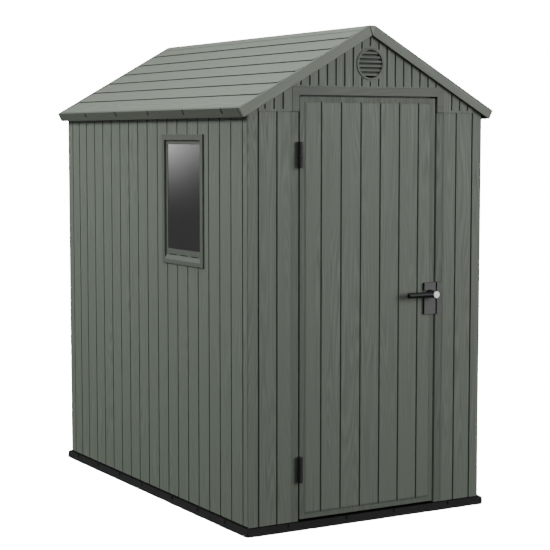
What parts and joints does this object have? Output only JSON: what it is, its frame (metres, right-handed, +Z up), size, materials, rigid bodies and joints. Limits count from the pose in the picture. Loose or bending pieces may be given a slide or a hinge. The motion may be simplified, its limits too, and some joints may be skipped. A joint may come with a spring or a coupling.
{
  "type": "tool shed",
  "caption": "Moulded resin garden tool shed with a shiplap gable roof, grooved plank walls, a round louvred gable vent, a side window and one hinged door with a lever lock on a black base.",
  "frame": {"origin": "on the ground, at the middle of the base's underside", "axes": "+X along the front to the right as seen from in front, +Y from the door to the rear, +Z up"},
  "size_m": [1.248, 1.8995, 2.0581],
  "materials": {
    "wall_resin": "sage green moulded resin with a vertical wood grain",
    "roof_resin": "lighter grey green moulded resin with a wood grain along the planks",
    "trim_resin": "sage green moulded resin, nearly smooth",
    "base_resin": "black moulded resin, satin",
    "black_resin": "black moulded resin, fine grained",
    "lock_metal": "satin, brushed",
    "window_glass": "smoky clear acrylic"
  },
  "bodies": {
    "shell": {"floor_front": "base_resin", "floor_rear": "base_resin", "post_front_left": "wall_resin", "post_front_right": "wall_resin", "post_rear_left": "wall_resin", "post_rear_right": "wall_resin", "left_wall_front": "wall_resin", "left_wall_rear": "wall_resin", "right_wall_front": "wall_resin", "right_wall_rear": "wall_resin", "front_wall_left": "wall_resin", "front_wall_right": "wall_resin", "rear_wall_left": "wall_resin", "rear_wall_right": "wall_resin", "front_gable": "wall_resin", "rear_gable": "wall_resin", "door_header": "trim_resin", "front_vent": "trim_resin", "rear_vent": "trim_resin", "window_frame": "trim_resin", "window_glass": "window_glass", "roof_left": "roof_resin", "roof_right": "roof_resin", "ridge_cap": "trim_resin", "fascia_left": "trim_resin", "fascia_right": "trim_resin", "bargeboard_front_left": "trim_resin", "bargeboard_front_right": "trim_resin", "bargeboard_rear_left": "trim_resin", "bargeboard_rear_right": "trim_resin", "keeper": "black_resin", "hinge_upper_jamb": "black_resin", "hinge_lower_jamb": "black_resin"},
    "door": {"door_leaf": "wall_resin", "lock_case": "black_resin", "hinge_upper_door": "black_resin", "hinge_lower_door": "black_resin"},
    "lever": {"lever": "black_resin", "lock_cap": "lock_metal"}
  },
  "joints": [
    {"name": "door_hinge", "type": "hinge", "parent": "shell", "child": "door", "pos_m": [-0.33775, -0.9205, 0.9], "axis": [0, 0, -1], "range_deg": [0, 150]},
    {"name": "lever_turn", "type": "hinge", "parent": "door", "child": "lever", "pos_m": [0.30625, -0.945, 0.94], "axis": [0, -1, 0], "range_deg": [0, 90]}
  ]
}
